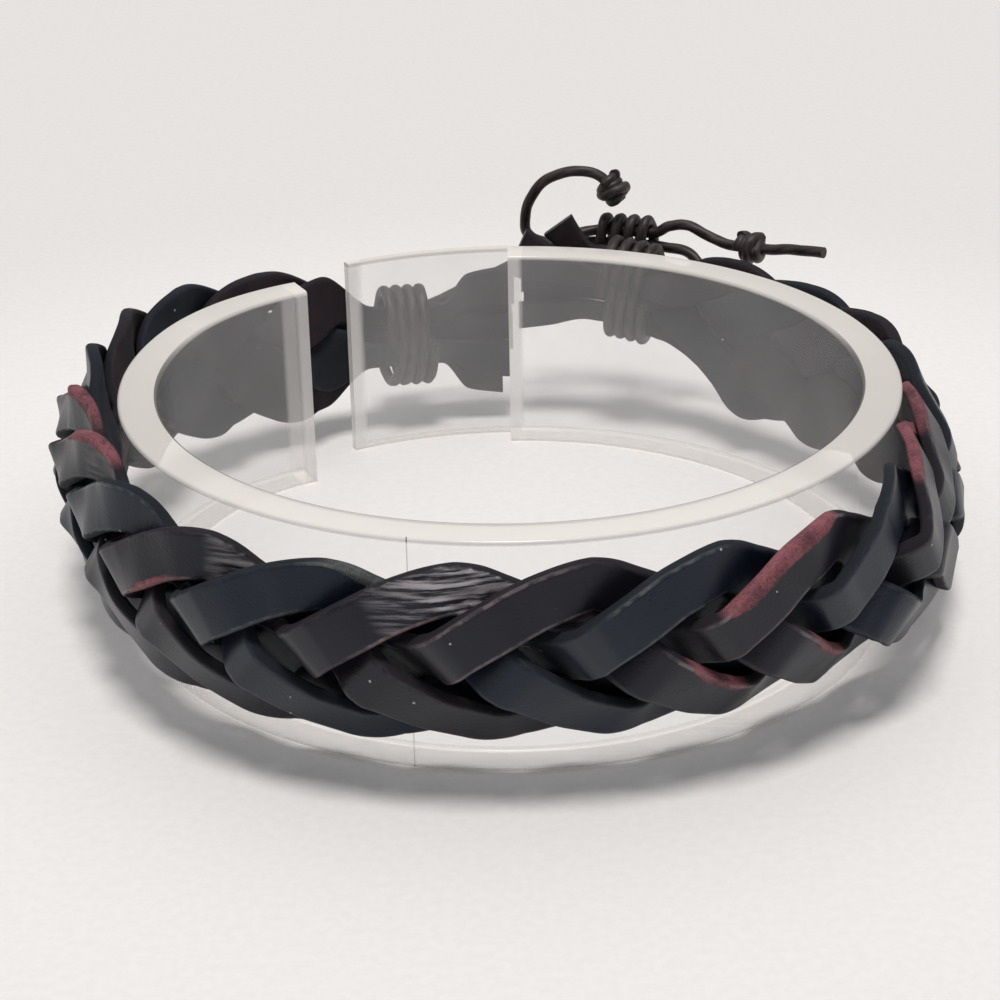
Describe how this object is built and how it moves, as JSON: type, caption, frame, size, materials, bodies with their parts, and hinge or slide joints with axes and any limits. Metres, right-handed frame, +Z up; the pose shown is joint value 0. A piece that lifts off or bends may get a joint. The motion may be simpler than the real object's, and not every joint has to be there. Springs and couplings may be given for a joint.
{
  "type": "braided leather bracelet on a clear display ring",
  "caption": "Flat braid of dark leather strips tied with a waxed cord and a sliding knot, standing on an open clear plastic display ring.",
  "frame": {"origin": "on the display ring's axis, in the plane of its bottom face, which is the surface the part stands on", "axes": "+Z up along the ring's axis; -Y towards the front of the braid; the closure is at +Y"},
  "size_m": [0.0729, 0.0771, 0.0224],
  "materials": {
    "clear_plastic": "clear, polished, with dull moulded edges",
    "brown_leather": "smooth semi-gloss grain with cut edges",
    "navy_leather": "smooth semi-gloss grain with cut edges",
    "waxed_cord": "waxed cotton"
  },
  "bodies": {
    "root": {"display_ring": "clear_plastic", "strand_1": "brown_leather", "strand_2": "brown_leather", "strand_3": "navy_leather", "strand_4": "brown_leather", "strand_5": "navy_leather", "left_binding": "waxed_cord", "right_binding": "waxed_cord", "left_cord": "waxed_cord", "right_cord": "waxed_cord", "sliding_knot": "waxed_cord", "left_stopper": "waxed_cord", "right_stopper": "waxed_cord"}
  },
  "joints": []
}
